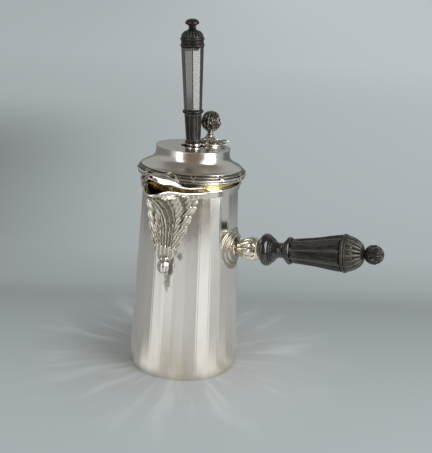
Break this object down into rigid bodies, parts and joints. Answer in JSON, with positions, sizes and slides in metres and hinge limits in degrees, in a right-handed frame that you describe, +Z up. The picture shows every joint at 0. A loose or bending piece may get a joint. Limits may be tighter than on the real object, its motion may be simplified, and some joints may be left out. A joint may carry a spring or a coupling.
{
  "type": "chocolate pot",
  "caption": "Tall faceted silver chocolate pot with a leafed spout, turned side handle, hinged domed lid, swing-aside finial and a stirrer standing through the lid",
  "frame": {"origin": "the middle of the pot's bottom, on the surface it stands on", "axes": "+Z up along the pot's axis, +X along the side handle, -Y along the spout, the lid's hinge at +Y"},
  "size_m": [0.241, 0.1322, 0.3273],
  "materials": {
    "silver": "polished old silver with soft brown tarnish in the hollows",
    "oxidised_silver": "darkened, tarnished silver",
    "gilt": "worn gilding on silver",
    "ebony": "black turned ebony, waxed",
    "dark_wood": "plain dark turned wood",
    "iron": "plain iron"
  },
  "bodies": {
    "pot": {"body_wall": "silver", "base_plate": "silver", "rim_band": "silver", "rim_wire": "silver", "spout": "silver", "spout_wire": "silver", "spout_leaf": "silver", "leaf_bud": "silver", "handle_boss": "silver", "handle_socket": "silver", "socket_ring": "silver", "handle_neck": "ebony", "handle_pin": "silver", "handle_grip": "ebony", "handle_cap": "ebony", "handle_finial": "ebony", "handle_rod": "iron", "hinge_leaf_pot": "silver", "hinge_pin": "silver"},
    "lid": {"lid_shell": "silver", "lid_top": "silver", "lid_moulding": "silver", "lid_bezel": "gilt", "lid_hood": "silver", "hinge_leaf_lid": "silver", "pivot_pin": "silver"},
    "swing_finial": {"cover_plate": "silver", "cover_rosette": "oxidised_silver", "cover_tab": "silver", "cover_finial": "oxidised_silver"},
    "stirrer": {"stirrer_knob": "ebony", "stirrer_cap": "ebony", "stirrer_band": "ebony", "stirrer_handle": "ebony", "stirrer_collar": "ebony", "stirrer_shaft": "ebony", "stirrer_bead": "silver", "stirrer_tube": "silver", "stirrer_rod": "dark_wood", "stirrer_head": "dark_wood", "head_pin": "dark_wood"}
  },
  "joints": [
    {"name": "lid_hinge", "type": "hinge", "parent": "pot", "child": "lid", "pos_m": [0, 0.0496, 0.18257], "axis": [-1, 0, 0], "range_deg": [0, 95]},
    {"name": "stirrer_draw", "type": "slide", "parent": "lid", "child": "stirrer", "axis": [-0.0472, -0.0228, 0.9986], "range_m": [0, 0.335]},
    {"name": "cover_swing", "type": "hinge", "parent": "lid", "child": "swing_finial", "pos_m": [-0.00908, 0.01602, 0.21265], "axis": [0, 0.0565, 0.9984], "range_deg": [0, 100]}
  ],
  "couplings": [
    {"joint": "stirrer_draw", "follows": "lid_hinge", "m_per_rad": 0.2}
  ]
}
